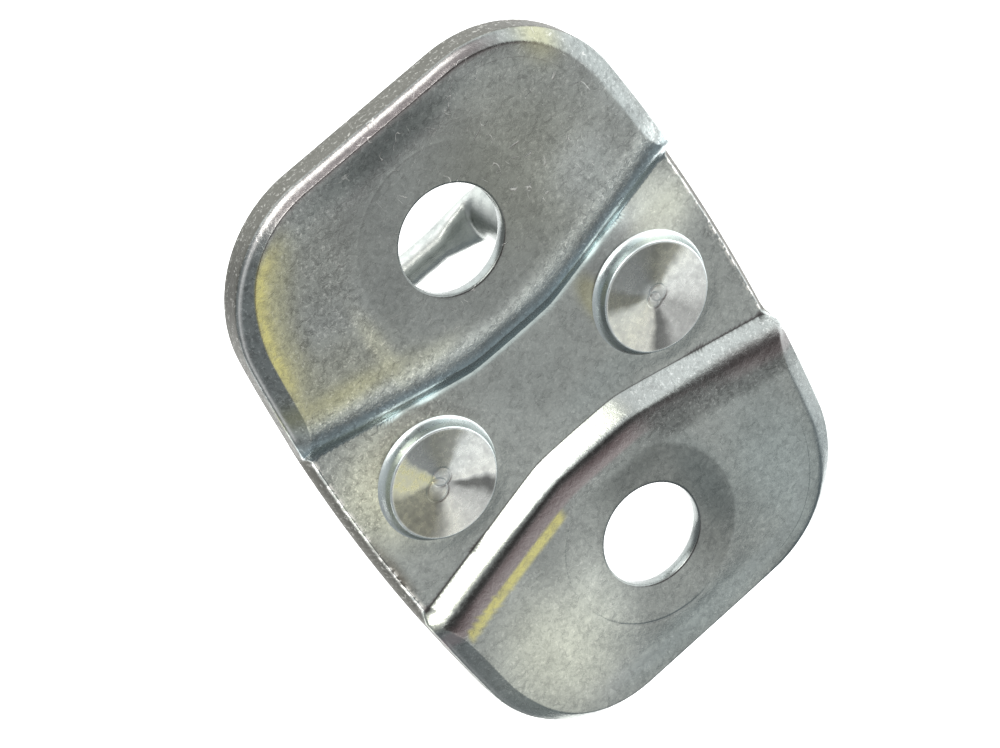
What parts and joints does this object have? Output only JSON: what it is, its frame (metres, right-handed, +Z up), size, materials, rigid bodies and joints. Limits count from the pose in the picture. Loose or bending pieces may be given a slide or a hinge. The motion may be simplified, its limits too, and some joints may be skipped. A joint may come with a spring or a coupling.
{
  "type": "latch striker",
  "caption": "Upright steel striker: a pressed plate with a waisted channel between raised pads with screw holes, and a forged loop riveted through the channel.",
  "frame": {"origin": "middle of the mounting plane, halfway between the two screw holes", "axes": "-Y out of the mounting side, +Y towards the loop, +Z up along the row of the screw holes, +X along the crossbar"},
  "size_m": [0.0518, 0.0404, 0.0778],
  "materials": {
    "plate_zinc": "bright zinc plating on pressed sheet, satin, finely grained, faint yellow and violet tints at the bends",
    "bar_zinc": "bright zinc plating on forged steel, smoother than the sheet, rolled conical faces on the rivet heads"
  },
  "bodies": {
    "root": {"plate": "plate_zinc", "striker_bar": "bar_zinc"}
  },
  "joints": []
}
